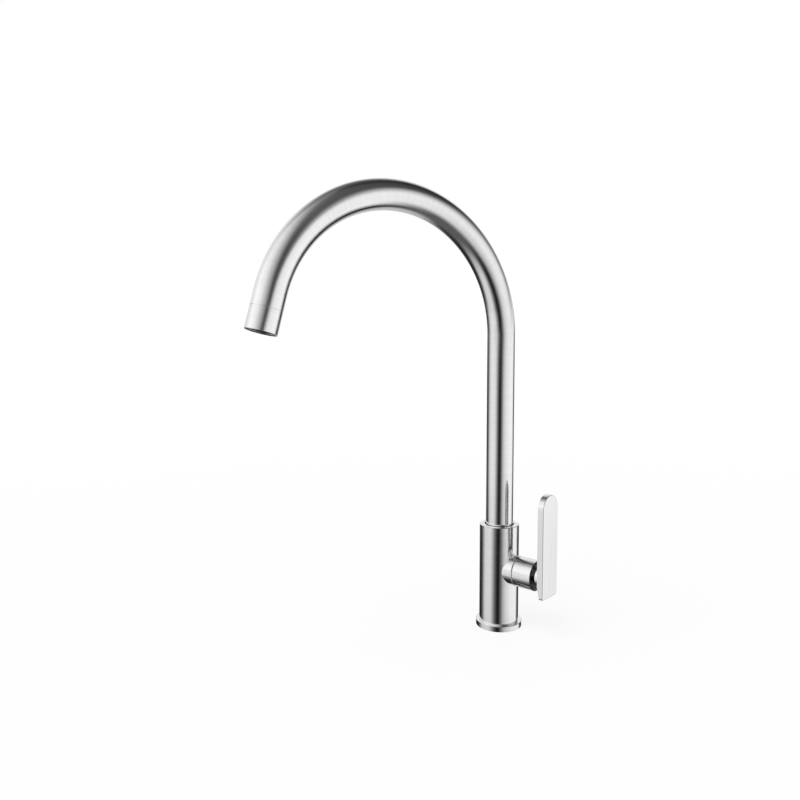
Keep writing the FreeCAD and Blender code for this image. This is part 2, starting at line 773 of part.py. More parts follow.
# ---- the faucet, one file per piece -----------------------------------------------------------------
pieces = {
    "body_shell": body_shell,
    "base_flange": base_flange,
    "base_gasket": base_gasket,
    "threaded_shank": threaded_shank,
    "shank_seal": shank_seal,
    "rubber_washer": rubber_washer,
    "steel_washer": steel_washer,
    "clamp_nut": clamp_nut,
    "spout_stop_screw": spout_stop_screw,
    "thrust_ring": thrust_ring,
    "valve_cage": valve_cage,
    "cage_o_ring": cage_o_ring,
    "seat_seal": seat_seal,
    "fixed_disc": fixed_disc,
    "spout_tube": spout_tube,
    "spout_tail": spout_tail,
    "tail_o_rings": tail_o_rings,
    "outlet_sleeve": outlet_sleeve,
    "aerator_housing": aerator_housing,
    "aerator_grid": aerator_grid,
    "aerator_diffuser": aerator_diffuser,
    "aerator_screen": aerator_screen,
    "aerator_washer": aerator_washer,
    "turning_disc": turning_disc,
    "valve_spindle": valve_spindle,
    "spindle_o_rings": spindle_o_rings,
    "spindle_circlip": spindle_circlip,
    "lever_hub": lever_hub,
    "grub_screw": grub_screw,
    "grub_plug": grub_plug,
    "neck_ring": neck_ring,
    "plate_screws": plate_screws,
    "lever_plate": lever_plate,
}

os.makedirs("parts", exist_ok=True)
for name, make in pieces.items():
    shape = make()
    shape.exportStep(f"parts/{name}.step")
    print(f"{name}: {len(shape.Solids)} solid, {shape.Volume:.1f} mm3, valid {shape.isValid()}")
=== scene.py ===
"""Looks of the gooseneck bar faucet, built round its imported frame.

All places and sizes are in metres, in the part's own frame: +Z is up, z = 0 is the worktop, +X runs
along the valve's axis towards the lever, and -Y is the front.
"""

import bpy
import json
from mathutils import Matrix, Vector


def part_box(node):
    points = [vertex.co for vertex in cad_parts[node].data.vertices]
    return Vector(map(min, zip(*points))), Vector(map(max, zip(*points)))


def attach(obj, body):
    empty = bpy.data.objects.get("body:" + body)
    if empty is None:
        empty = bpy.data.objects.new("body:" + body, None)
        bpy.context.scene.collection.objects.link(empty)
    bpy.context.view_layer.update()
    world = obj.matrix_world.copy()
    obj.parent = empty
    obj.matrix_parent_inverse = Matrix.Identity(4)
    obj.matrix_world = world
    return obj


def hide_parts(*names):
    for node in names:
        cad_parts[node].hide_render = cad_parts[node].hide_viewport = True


bl_info = {
    "name": "Gooseneck Bar Faucet",
    "version": (1, 0, 0),
    "blender": (4, 5, 0),
    "location": "3D View > Sidebar > Faucet",
    "description": "Finishes, bent tube, threads and woven screen of a gooseneck bar faucet",
    "category": "Object",
}

import json
import math

import bmesh
import bpy
from bpy.props import FloatProperty, FloatVectorProperty, IntProperty, PointerProperty
from mathutils import Matrix, Vector

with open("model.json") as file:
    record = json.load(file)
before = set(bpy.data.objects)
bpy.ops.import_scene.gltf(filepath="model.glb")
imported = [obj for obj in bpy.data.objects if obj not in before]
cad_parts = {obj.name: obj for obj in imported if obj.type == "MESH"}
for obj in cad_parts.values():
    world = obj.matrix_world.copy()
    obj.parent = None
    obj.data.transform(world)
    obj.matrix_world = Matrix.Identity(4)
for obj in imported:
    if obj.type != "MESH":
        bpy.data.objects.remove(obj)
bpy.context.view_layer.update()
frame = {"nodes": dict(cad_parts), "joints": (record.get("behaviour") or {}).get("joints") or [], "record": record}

SKIN = 0.00005  # how far past a face a mark still counts as on it
MERGE_DISTANCE = 1e-6  # points nearer than this become one
SHARP_ANGLE = math.radians(28)
CIRCLE_SIDES = 96  # of the floor and of the screen's rim
WIRE_POINTS = 90  # along one wire of the screen
LAMP_TURN = math.pi / 4  # of the lamp, from the camera's side
MOUNTS = {mount["name"]: mount for mount in frame["record"]["mounts"]}
JOINTS = {joint["name"]: joint for joint in frame["joints"]}

# ---- what the frame says ----
UP = Vector((0, 0, 1))
VALVE_WAY = Vector(JOINTS["lever_turn"]["axis"])
VALVE_PLACE = Vector(JOINTS["lever_turn"]["pos_m"])
OUTLET = Vector(MOUNTS["water_outlet"]["pos_m"])
FLOW = Vector(MOUNTS["water_outlet"]["axis"]).normalized()
OUTLET_REACH = OUTLET.xy.length
REST_ANGLE = math.atan2(OUTLET.y, OUTLET.x)
BEND_ANGLE = math.acos(FLOW.z)
OUTLET_RUN = 0.030  # the part's own; the frame doesn't say it
BEND_RADIUS = (OUTLET_REACH - OUTLET_RUN * math.sin(BEND_ANGLE)) / (1 - math.cos(BEND_ANGLE))
SPRING_HEIGHT = OUTLET.z - BEND_RADIUS * math.sin(BEND_ANGLE) - OUTLET_RUN * math.cos(BEND_ANGLE)
TUBE_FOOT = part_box("spout_tube")[0].z
SHANK_LOW, SHANK_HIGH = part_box("threaded_shank")
SCREEN_LOW, SCREEN_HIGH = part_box("aerator_screen")
BODY_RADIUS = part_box("body_shell")[1].y
BODY_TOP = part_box("body_shell")[1].z
HUB_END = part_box("lever_hub")[1].x


def amount(name, description, default, low=0.0, high=10.0, **kind):
    return FloatProperty(name=name, description=description, default=default, min=low, max=high, **kind)


def length(name, description, default, low=0.0, high=1.0):
    return amount(name, description, default, low, high, unit="LENGTH", subtype="DISTANCE", precision=5)


def angle(name, description, default):
    return amount(name, description, default, -math.tau, math.tau, unit="ROTATION", subtype="ANGLE")


def share(name, description, default):
    return amount(name, description, default, 0.0, 1.0, subtype="FACTOR")


def count(name, description, default, low=3, high=512):
    return IntProperty(name=name, description=description, default=default, min=low, max=high)


def colour(name, description, default):
    return FloatVectorProperty(name=name, description=description, default=default, size=3,
                               subtype="COLOR", min=0.0, max=1.0)


# ---- sizes and colours that a user would change ----
class CameraView(bpy.types.PropertyGroup):
    """Where the camera stands and how it is turned."""

    place: FloatVectorProperty(name="Place", description="Where the camera stands", size=3,
                               default=(0.3423, -0.5152, 0.26074), subtype="XYZ", unit="LENGTH")
    heading: angle("Heading", "Turn of the view about Z, from looking along +Y", math.radians(42.2))
    pitch: angle("Pitch", "How far the view looks down", math.radians(4.58))
    roll: angle("Roll", "Turn of the picture about the view", math.radians(-0.17))
    lens: FloatProperty(name="Lens", description="Focal length on a 36 mm sensor", default=29.995,
                        min=5, max=300, subtype="DISTANCE_CAMERA")


class TubeSizes(bpy.types.PropertyGroup):
    """The bent tube of the gooseneck."""

    radius: length("Radius", "Outside radius of the tube", 0.0125)
    wall: length("Wall", "Thickness of the tube's wall", 0.0012)
    bend_radius: length("Bend Radius", "Radius of the bend's centre line", BEND_RADIUS)
    bend_angle: angle("Bend Angle", "How far the bend turns", BEND_ANGLE)
    foot: length("Foot", "Height of the tube's lower end", TUBE_FOOT)
    spring_height: length("Spring Height", "Height where the bend begins", SPRING_HEIGHT)
    outlet_run: length("Outlet Run", "Straight run from the bend to the tip", OUTLET_RUN)
    sleeve: length("Sleeve", "Length of the sleeve on the tip", 0.018)
    edge: length("Edge Break", "Chamfer at the sleeve's seam", 0.00015)
    rest_angle: angle("Rest Angle", "Direction of the spout about Z", REST_ANGLE)
    rows: count("Rows", "Rings of faces along the tube", 220)
    sides: count("Sides", "Faces round the tube", 96)


class ThreadSizes(bpy.types.PropertyGroup):
    """The threaded tail under the worktop."""

    radius: length("Radius", "Major radius of the thread",
                   MOUNTS["inlet_thread"]["dims"]["r_mm"] / 1000)
    pitch: length("Pitch", "From one crest to the next", 0.001814)
    depth: length("Depth", "From crest to root", 0.001162)
    bore: length("Bore", "Radius of the water way", 0.007)
    chamfer: length("Chamfer", "Cone at the free end", 0.001)
    groove_top: length("Groove Top", "Top of the relief groove", -0.0355, -1.0, 1.0)
    groove_length: length("Groove Length", "Length of the relief groove", 0.0025)
    groove_depth: length("Groove Depth", "Depth of the relief groove", 0.0011)
    rows_per_turn: count("Rows Per Turn", "Rings of faces for each turn of the thread", 8)
    sides: count("Sides", "Faces round the thread", 64)


class ScreenSizes(bpy.types.PropertyGroup):
    """The woven screen behind the aerator."""

    radius: length("Radius", "Outside radius of the screen's rim", 0.00895)
    rim: length("Rim", "Width of the rim", 0.0008)
    pitch: length("Pitch", "From one wire to the next", 0.0008)
    wire: length("Wire", "Radius of a wire", 0.000125)
    thickness: length("Thickness", "Height of the rim", 0.0005)
    sides: count("Sides", "Faces round a wire", 6)


class Finishes(bpy.types.PropertyGroup):
    """Colours and finish of the materials."""

    steel: colour("Steel", "Brushed stainless steel", (0.86, 0.86, 0.86))
    steel_roughness: share("Steel Roughness", "Gloss of the brushed steel", 0.15)
    brush_depth: length("Brush Depth", "Height of the brush lines", 0.000024)
    brush_pitch: length("Brush Pitch", "Width of a brush line", 0.00035)
    brass: colour("Brass", "Turned brass", (0.80, 0.60, 0.32))
    rubber: colour("Rubber", "Moulded rubber", (0.022, 0.022, 0.023))
    plain: colour("Plain Steel", "Steel of the hidden fasteners", (0.62, 0.62, 0.63))
    ceramic: colour("Ceramic", "Lapped ceramic", (0.87, 0.86, 0.82))
    acetal: colour("Acetal", "Pale moulded plastic", (0.80, 0.80, 0.77))
    # painted shade: the aerator is coloured near-black for the shade inside the outlet's mouth
    aerator: colour("Aerator", "Near-black painted shade on the aerator's plastic", (0.03, 0.03, 0.03))
    # painted shade: darkens the hub's end behind the paddle and the groove round the tube, where shade falls in
    # the gaps
    painted_shade: colour("Painted Shade", "Shade painted on the hub's end and in the groove of the rim",
                      (0.06, 0.06, 0.06))
    hub_bevel: length("Hub Bevel", "Bevel of the hub's end, where shade is painted", 0.0008)
    groove_radius: length("Groove Radius", "Outer radius of the groove round the tube", 0.0136)
    groove_depth: length("Groove Depth", "Depth of the groove round the tube", 0.002)
    plug: colour("Plug", "Push-in plug", (0.50, 0.50, 0.51))


class StageLook(bpy.types.PropertyGroup):
    """The floor, the lamp and what the metal reflects."""

    floor_radius: length("Floor Radius", "Radius of the floor", 6.0, 0.1, 50.0)
    tap_hole: length("Tap Hole", "Radius of the hole that the tail passes", 0.0165)
    floor: colour("Floor", "Colour of the floor", (0.93, 0.93, 0.93))
    plain_light: amount("Plain Light", "World's light on what isn't glossy", 0.6)
    studio_light: amount("Studio Light", "Strength of what the metal reflects", 1.15)
    sun: amount("Sun", "Strength of the lamp", 1.5)
    sun_height: angle("Sun Height", "Height of the lamp above the floor", math.radians(58))
    sun_softness: angle("Sun Softness", "Apparent size of the lamp", math.radians(35))
    floor_glow: share("Floor Glow", "Share of plain white in the floor near the base", 0.85)
    glow_start: length("Glow Start", "Distance from the base where the floor turns whiter", 0.25)
    glow_end: length("Glow End", "Distance from the base where the floor is plain white",
                     1.5, 0.0, 10.0)
    patch_place: FloatVectorProperty(name="Patch Place", size=3, default=(-0.004, -0.038, 0.0),
                                     description="Centre of the dark patch that only metal sees",
                                     subtype="XYZ", unit="LENGTH")
    patch_radius: length("Patch Radius", "Radius of the dark patch, half of it a soft edge", 0.075)
    patch_reach: length("Patch Reach", "How near to the patch the metal has to be to see it", 0.20)
    patch_shade: share("Patch Shade", "Grey of the dark patch", 0.015)
    camera_side: angle("Camera Side", "Direction of the camera from the body, about Z",
                       math.radians(-56.4))


class FaucetSettings(bpy.types.PropertyGroup):
    """All settings of the faucet."""

    camera: PointerProperty(type=CameraView)
    tube: PointerProperty(type=TubeSizes)
    thread: PointerProperty(type=ThreadSizes)
    screen: PointerProperty(type=ScreenSizes)
    finish: PointerProperty(type=Finishes)
    stage: PointerProperty(type=StageLook)


def settings():
    return bpy.context.scene.faucet


# ---- node trees written as expressions ----
class Wire:
    """An output of a node. Arithmetic on it adds Math nodes to the same tree."""

    def __init__(self, graph, socket):
        self.graph = graph
        self.socket = socket

    def out(self, name):
        """Another output of the same node."""
        return Wire(self.graph, self.socket.node.outputs[name])

    def math(self, operation, *others):
        return self.graph.math(operation, self, *others)

    def __add__(self, other):
        return self.math("ADD", other)

    __radd__ = __add__

    def __sub__(self, other):
        return self.math("SUBTRACT", other)

    def __rsub__(self, other):
        return self.graph.math("SUBTRACT", other, self)

    def __mul__(self, other):
        return self.math("MULTIPLY", other)

    __rmul__ = __mul__

    def __truediv__(self, other):
        return self.math("DIVIDE", other)

    def __rtruediv__(self, other):
        return self.graph.math("DIVIDE", other, self)

    def __mod__(self, other):
        return self.math("MODULO", other)

    def __gt__(self, other):
        return self.math("GREATER_THAN", other)

    def __lt__(self, other):
        return self.math("LESS_THAN", other)


class Graph:
    """One node tree, to which nodes are added by type, settings and sockets."""

    def __init__(self, tree, keep=False):
        self.tree = tree
        if not keep:
            tree.nodes.clear()

    def shader(self):
        """The tree's Principled shader."""
        return next(node for node in self.tree.nodes if node.type == "BSDF_PRINCIPLED")

    def add(self, kind, set_first=None, sockets=None, out=0):
        """Adds a node: its settings first, then the values or links of its sockets."""
        node = self.tree.nodes.new(kind)
        for name, value in (set_first or {}).items():
            if name == "stops":
                self.set_stops(node.color_ramp, value)
            else:
                setattr(node, name, value)
        for name, value in (sockets or {}).items():
            self.join(node.inputs[name], value)
        return Wire(self, node.outputs[out]) if node.outputs else node

    def join(self, socket, value):
        if isinstance(value, Wire):
            self.tree.links.new(value.socket, socket)
        else:
            socket.default_value = value

    @staticmethod
    def set_stops(ramp, stops):
        while len(ramp.elements) < len(stops):
            ramp.elements.new(1.0)
        for element, (position, grey) in zip(ramp.elements, stops):
            element.position = position
            element.color = (grey, grey, grey, 1.0)

    def math(self, operation, *values):
        return self.add("ShaderNodeMath", {"operation": operation}, dict(enumerate(values)))

    def vector(self, operation, *values, out="Vector"):
        return self.add("ShaderNodeVectorMath", {"operation": operation}, dict(enumerate(values)), out)

    def combine(self, x, y, z):
        return self.add("ShaderNodeCombineXYZ", None, {"X": x, "Y": y, "Z": z})

    def separate(self, vector):
        """The vector's x, y and z."""
        parts = self.add("ShaderNodeSeparateXYZ", None, {0: vector})
        return parts, parts.out("Y"), parts.out("Z")

    def span(self, value, low, high, to_low=0.0, to_high=1.0, smooth=False):
        """The value's place between low and high, taken to another range and kept inside it."""
        kind = "SMOOTHSTEP" if smooth else "LINEAR"
        return self.add("ShaderNodeMapRange", {"interpolation_type": kind, "clamp": True},
                        {"Value": value, "From Min": low, "From Max": high, "To Min": to_low,
                         "To Max": to_high})

    def noise(self, place, scale=1.0, detail=2.0, roughness=0.5):
        """Smooth noise from 0 to 1, with so many features to a metre."""
        return self.add("ShaderNodeTexNoise", None,
                        {"Vector": place, "Scale": scale, "Detail": detail, "Roughness": roughness})

    def mix_colours(self, factor, first, second):
        """Mixes two colours; a plain colour is three numbers."""
        node = self.tree.nodes.new("ShaderNodeMix")
        node.data_type = "RGBA"
        self.join(node.inputs["Factor"], factor)
        colour_inputs = [s for s in node.inputs if s.type == "RGBA"]
        for socket, value in zip(colour_inputs, (first, second)):
            self.join(socket, value if isinstance(value, Wire) else (*value, 1.0))
        return Wire(self, next(s for s in node.outputs if s.type == "RGBA"))


# ---- materials ----
def new_material(name):
    """A material with its graph and its finished Principled shader: (material, graph, shader)."""
    material = bpy.data.materials.new(name)
    material.use_nodes = True
    graph = Graph(material.node_tree)
    shader = graph.add("ShaderNodeBsdfPrincipled")
    graph.add("ShaderNodeOutputMaterial", None, {"Surface": shader})
    return material, graph, shader.socket.node


def paint(graph, shader, base_colour, **looks):
    """Sets or links the shader's Base Color and the sockets that the other words name."""
    graph.join(shader.inputs["Base Color"], base_colour)
    for word, value in looks.items():
        graph.join(shader.inputs[word.capitalize()], value)


def bumps(graph, height, depth, strength=1.0):
    """A normal that follows the height, whose range of 0 to 1 is this deep in metres."""
    return graph.add("ShaderNodeBump", None,
                     {"Strength": strength, "Distance": depth, "Height": height})


def object_place(graph):
    return graph.add("ShaderNodeTexCoord", out="Object")


def along_and_out(graph, place, origin, way):
    """A place's distance along a turned piece's axis, and out from that axis."""
    from_origin = graph.vector("SUBTRACT", place, tuple(origin))
    along = graph.vector("DOT_PRODUCT", from_origin, tuple(way), out="Value")
    on_axis = graph.add("ShaderNodeVectorMath", {"operation": "SCALE"}, {0: tuple(way), "Scale": along})
    outward = graph.vector("SUBTRACT", from_origin, on_axis)
    return along, graph.vector("LENGTH", outward, out="Value")


BRUSH_STRETCH = 0.035  # width of a brush line over its length
STREAK_PITCH = 7  # width of a streak, in brush lines
STREAK_STRETCH = 0.4  # change along a streak over the change along a brush line
END_RINGS = 1.3  # lines to a metre on end faces over those on the side
FINE_SHARE = 0.7  # of the height is fine lines, and the rest is streaks
LINE_GLOSS = 0.10  # range of roughness from the fine lines
SMUDGE_GLOSS = 0.05  # range of roughness from smudges
WORN = 0.965  # of the steel's colour, where a streak is worn
WORN_SPAN = (0.35, 0.65)  # of a streak's noise, from worn to plain
PADDLE_SLANT = 0.7  # lines to a metre on the paddle's edges over those on its face
PADDLE_DRIFT = 0.15  # change along the paddle's lines over that along other lines
RING_RATE = 3000  # turning marks to a metre on brass
RING_DRIFT = 90  # changes to a metre along those marks
FACE_RATE = 2600  # turning marks to a metre on plain steel


def brush_lines(graph, place, across, pitch):
    """Fine lines that run square to `across`, from 0 to 1, and broader streaks among them."""
    x, y = graph.separate(place)[:2]
    slow = BRUSH_STRETCH / pitch
    fine_place = graph.combine(x * slow, y * slow, across / pitch)
    fine = graph.noise(fine_place, detail=3.0, roughness=0.6)
    slower = slow * STREAK_STRETCH
    broad_place = graph.combine(x * slower, y * slower, across / (STREAK_PITCH * pitch))
    return fine, graph.noise(broad_place)


def steel_surface(name, across_of, finish, depth_share=1.0, gloss=1.0):
    """Brushed steel whose lines run square to the distance that across_of(graph) gives."""
    material, graph, shader = new_material(name)
    place, across = across_of(graph)
    fine, broad = brush_lines(graph, place, across, finish.brush_pitch)
    smudge = graph.noise(place, scale=38.0, detail=3.0)
    height = fine * FINE_SHARE + broad * (1 - FINE_SHARE)
    roughness = (finish.steel_roughness + (fine - 0.5) * LINE_GLOSS
                 + (smudge - 0.5) * SMUDGE_GLOSS) / gloss
    shade = tuple(finish.steel)
    worn = tuple(WORN * c for c in shade)
    paint(graph, shader, graph.mix_colours(graph.span(broad, *WORN_SPAN), worn, shade),
          metallic=1.0, roughness=roughness,
          normal=bumps(graph, height, finish.brush_depth * depth_share))
    return material


def painted_shade(material, where, shade):
    """Paints shade into the steel's colour where where(graph) is 1."""
    graph = Graph(material.node_tree, keep=True)
    base_colour = graph.shader().inputs["Base Color"]
    steel = Wire(graph, base_colour.links[0].from_socket)
    graph.join(base_colour, graph.mix_colours(where(graph), steel, tuple(shade)))
    return material


def hub_end(finish):
    """Where shade is painted: the hub's end and its bevel, in the gap behind the paddle."""
    def where(graph):
        x = graph.separate(object_place(graph))[0]
        return x > HUB_END - finish.hub_bevel
    return where


def rim_groove(finish):
    """Where shade is painted: the groove round the tube, in the body's top."""
    def where(graph):
        along, out = along_and_out(graph, object_place(graph), (0, 0, BODY_TOP), UP)
        deep = (along > -finish.groove_depth - SKIN) * (along < -SKIN)
        return deep * (out < finish.groove_radius + SKIN)
    return where


def turned(origin, way):
    """Lines round an axis; on end faces they are rings."""
    def across_of(graph):
        place = object_place(graph)
        along, out = along_and_out(graph, place, origin, way)
        return place, along + out * END_RINGS
    return across_of


def lengthways(graph):
    """Straight lines along the upright paddle, which change across it."""
    x, y, z = graph.separate(object_place(graph))
    level = graph.combine(z * PADDLE_DRIFT, z * PADDLE_DRIFT, 0.0)
    return level, y + x * PADDLE_SLANT


def round_tube(graph):
    """Lines round the bent tube, which follow the place that its own mesh carries."""
    place = graph.add("ShaderNodeAttribute", {"attribute_name": "tube_place"}, out="Vector")
    along = graph.separate(place)[2]
    return place, along


def body_and_boss(graph):
    """Lines round the body, and round the valve's axis on the boss."""
    place = object_place(graph)
    along, out = along_and_out(graph, place, (0, 0, 0), UP)
    valve_along, valve_out = along_and_out(graph, place, VALVE_PLACE, VALVE_WAY)
    body_lines = along + out * END_RINGS
    boss_lines = valve_along + valve_out * END_RINGS
    on_boss = out > BODY_RADIUS + 4 * SKIN
    return place, body_lines + (boss_lines - body_lines) * on_boss


def turned_brass(finish):
    """Bare turned brass, a little tarnished in patches."""
    material, graph, shader = new_material("turned_brass")
    place = object_place(graph)
    along, out = along_and_out(graph, place, VALVE_PLACE, VALVE_WAY)
    y, z = graph.separate(place)[1:]
    rings = graph.combine(y * RING_DRIFT, z * RING_DRIFT, (along + out) * RING_RATE)
    marks = graph.noise(rings, detail=3.0)
    patches = graph.noise(place, scale=160.0, detail=4.0)
    tarnish = graph.span(patches, 0.45, 0.7)
    brass = tuple(finish.brass)
    dull = tuple(light * kept for light, kept in zip(brass, (0.78, 0.70, 0.58)))
    paint(graph, shader, graph.mix_colours(tarnish, brass, dull), metallic=1.0,
          roughness=0.22 + marks * 0.12 + tarnish * 0.12, normal=bumps(graph, marks, 0.000006, 0.8))
    return material


def moulded_rubber(finish):
    """Matt rubber with a fine moulded grain and a dusting."""
    material, graph, shader = new_material("black_rubber")
    place = object_place(graph)
    grain = graph.noise(place, scale=2600.0)
    dust = graph.span(graph.noise(place, scale=210.0, detail=4.0), 0.4, 0.75)
    rubber = tuple(finish.rubber)
    dusty = tuple(c * 2.4 + 0.01 for c in rubber)
    paint(graph, shader, graph.mix_colours(dust, rubber, dusty), roughness=0.62 + grain * 0.16,
          normal=bumps(graph, grain, 0.00002, 0.5))
    return material


def plain_steel(finish):
    """Machined steel of the washer, circlip and screws, with faint concentric marks."""
    material, graph, shader = new_material("plain_steel")
    place = object_place(graph)
    along, out = along_and_out(graph, place, (0, 0, 0), UP)
    marks = graph.noise(graph.combine(0.0, 0.0, (along + out) * FACE_RATE), detail=3.0)
    patches = graph.noise(place, scale=130.0, detail=4.0)
    plain = tuple(finish.plain)
    dull = tuple(c * 0.82 for c in plain)
    paint(graph, shader, graph.mix_colours(graph.span(patches, 0.4, 0.7), plain, dull),
          metallic=1.0, roughness=0.26 + marks * 0.12 + patches * 0.08,
          normal=bumps(graph, marks, 0.000008, 0.8))
    return material


def lapped_ceramic(finish):
    """White ceramic, lapped smooth, with faint specks."""
    material, graph, shader = new_material("white_ceramic")
    place = object_place(graph)
    specks = graph.span(graph.noise(place, scale=1800.0, detail=1.0), 0.62, 0.72)
    cloud = graph.noise(place, scale=120.0)
    ceramic = tuple(finish.ceramic)
    speck = tuple(c * 0.88 for c in ceramic)
    paint(graph, shader, graph.mix_colours(specks, ceramic, speck), roughness=0.2 + cloud * 0.12)
    return material


def moulded_plastic(name, shade):
    """Satin moulded plastic with a faint orange-peel skin."""
    material, graph, shader = new_material(name)
    place = object_place(graph)
    skin = graph.noise(place, scale=900.0)
    cloud = graph.noise(place, scale=140.0)
    base = tuple(shade)
    darker = tuple(c * 0.93 for c in base)
    paint(graph, shader, graph.mix_colours(cloud, darker, base), roughness=0.34 + skin * 0.1,
          normal=bumps(graph, skin, 0.000015, 0.4))
    return material


def dress(material, *nodes):
    """Gives CAD nodes a better material; their meshes stay as they are."""
    for name in nodes:
        node = frame["nodes"][name]
        for slot in node.material_slots:
            slot.material = material


# ---- pieces made by geometry nodes ----
def new_geometry_tree(name, numbers, others):
    """A geometry tree with these inputs: (graph, {name: wire})."""
    inputs = {**dict.fromkeys(numbers, "Float"), **others, "Material": "Material"}
    tree = bpy.data.node_groups.new(name, "GeometryNodeTree")
    graph = Graph(tree)
    tree.interface.new_socket("Geometry", in_out="OUTPUT", socket_type="NodeSocketGeometry")
    for label, kind in inputs.items():
        tree.interface.new_socket(label, in_out="INPUT", socket_type="NodeSocket" + kind)
    entry = graph.add("NodeGroupInput")
    return graph, {label: entry.out(label) for label in inputs}


def end_tree(graph, geometry, material):
    """Sharp edges stay sharp, and the tree ends realized and with its material set."""
    smooth = graph.add("GeometryNodeSetShadeSmooth", {"domain": "FACE"},
                       {"Geometry": geometry, "Shade Smooth": True})
    turn = graph.add("GeometryNodeInputMeshEdgeAngle")
    sharp = graph.add("GeometryNodeSetShadeSmooth", {"domain": "EDGE"},
                      {"Geometry": smooth, "Selection": turn > SHARP_ANGLE,
                       "Shade Smooth": False})
    real = graph.add("GeometryNodeRealizeInstances", None, {"Geometry": sharp})
    finished = graph.add("GeometryNodeSetMaterial", None, {"Geometry": real, "Material": material})
    graph.add("NodeGroupOutput", None, {"Geometry": finished})


def end_tube(graph, shaped, material):
    """Closes a rolled-up grid along its seams, turns its faces outward and ends the tree."""
    closed = graph.add("GeometryNodeMergeByDistance", None,
                       {"Geometry": shaped, "Distance": MERGE_DISTANCE})
    outward = graph.add("GeometryNodeFlipFaces", None, {"Mesh": closed})
    end_tree(graph, outward, material)
    return graph.tree


def made_by(tree, name, values):
    """A plain mesh object, made by the tree with these input values."""
    holder = bpy.data.objects.new(name + "_holder", bpy.data.meshes.new(name + "_holder"))
    bpy.context.scene.collection.objects.link(holder)
    modifier = holder.modifiers.new("made_by", "NODES")
    modifier.node_group = tree
    identifiers = {item.name: item.identifier for item in tree.interface.items_tree
                   if item.item_type == "SOCKET" and item.in_out == "INPUT"}
    for label, value in values.items():
        modifier[identifiers[label]] = value
    evaluated = holder.evaluated_get(bpy.context.evaluated_depsgraph_get())
    mesh = bpy.data.meshes.new_from_object(evaluated)
    mesh.name = name
    bpy.data.objects.remove(holder)
    if not mesh.polygons:
        raise RuntimeError(f"{name} came out empty")
    piece = bpy.data.objects.new(name, mesh)
    bpy.context.scene.collection.objects.link(piece)
    return piece


def unit_grid(graph, columns, rows):
    """A flat grid whose points give (column number, share of a turn)."""
    grid = graph.add("GeometryNodeMeshGrid", None, {"Size X": 1.0, "Size Y": 1.0,
                                                    "Vertices X": columns, "Vertices Y": rows})
    x, y = graph.separate(graph.add("GeometryNodeInputPosition"))[:2]
    column = graph.math("ROUND", (x + 0.5) * (columns - 1))
    return grid, column, y + 0.5


def gooseneck_tree():
    """The tube's wall, bent along upright, bend and run: out along its outside, back along its bore.

    Half a column more or less keeps a comparison of column numbers clear of rounding.
    """
    graph, size = new_geometry_tree("gooseneck_tube", (
        "Radius", "Wall", "Bend Radius", "Bend Angle", "Foot", "Spring Height", "Run", "Edge Break",
        "Rest Angle"), {"Rows": "Int", "Sides": "Int"})
    rows = size["Rows"]
    turn_back = rows * 2 + 2
    grid, column, turn = unit_grid(graph, turn_back + 1, size["Sides"] + 1)
    column = column % turn_back
    outside = column < rows + 0.5
    at_edge = (column > rows - 0.5) * outside
    upright = size["Spring Height"] - size["Foot"]
    whole = upright + size["Bend Radius"] * size["Bend Angle"] + size["Run"]
    out_share = graph.math("MINIMUM", column / (rows - 1), 1.0)
    out_length = (whole - size["Edge Break"]) * out_share + at_edge * size["Edge Break"]
    back_length = whole * ((turn_back - 1 - column) / rows)
    along = out_length * outside + back_length * (1 - outside)
    radius = size["Radius"] - size["Wall"] * (1 - outside) - size["Edge Break"] * at_edge
    after_spring = graph.math("MAXIMUM", along - upright, 0.0)
    bent = graph.math("MINIMUM", after_spring / size["Bend Radius"], size["Bend Angle"])
    run = graph.math("MAXIMUM", after_spring - size["Bend Radius"] * size["Bend Angle"], 0.0)
    sine = graph.math("SINE", bent)
    cosine = graph.math("COSINE", bent)
    reach = size["Bend Radius"] * (1 - cosine) + run * sine
    height = (size["Foot"] + graph.math("MINIMUM", along, upright) + size["Bend Radius"] * sine
              + run * cosine)
    round_angle = turn * math.tau
    inward = graph.math("COSINE", round_angle) * radius
    sideways = graph.math("SINE", round_angle) * radius
    place = graph.combine(reach + inward * cosine, sideways, height - inward * sine)
    swung = graph.add("ShaderNodeVectorRotate", {"rotation_type": "Z_AXIS"},
                      {"Vector": place, "Angle": size["Rest Angle"]})
    straight_place = graph.combine(inward, sideways, along)
    marked = graph.add("GeometryNodeStoreNamedAttribute",
                       {"data_type": "FLOAT_VECTOR", "domain": "CORNER"},
                       {"Geometry": grid, "Name": "tube_place", "Value": straight_place})
    shaped = graph.add("GeometryNodeSetPosition", None, {"Geometry": marked, "Position": swung})
    return end_tube(graph, shaped, size["Material"])


THREAD_FLANK = (0.1, 0.9)  # of half a pitch, from the root's flat to the crest's
TURNS_BELOW = 100.0  # more turns than lie below the worktop, so none is negative


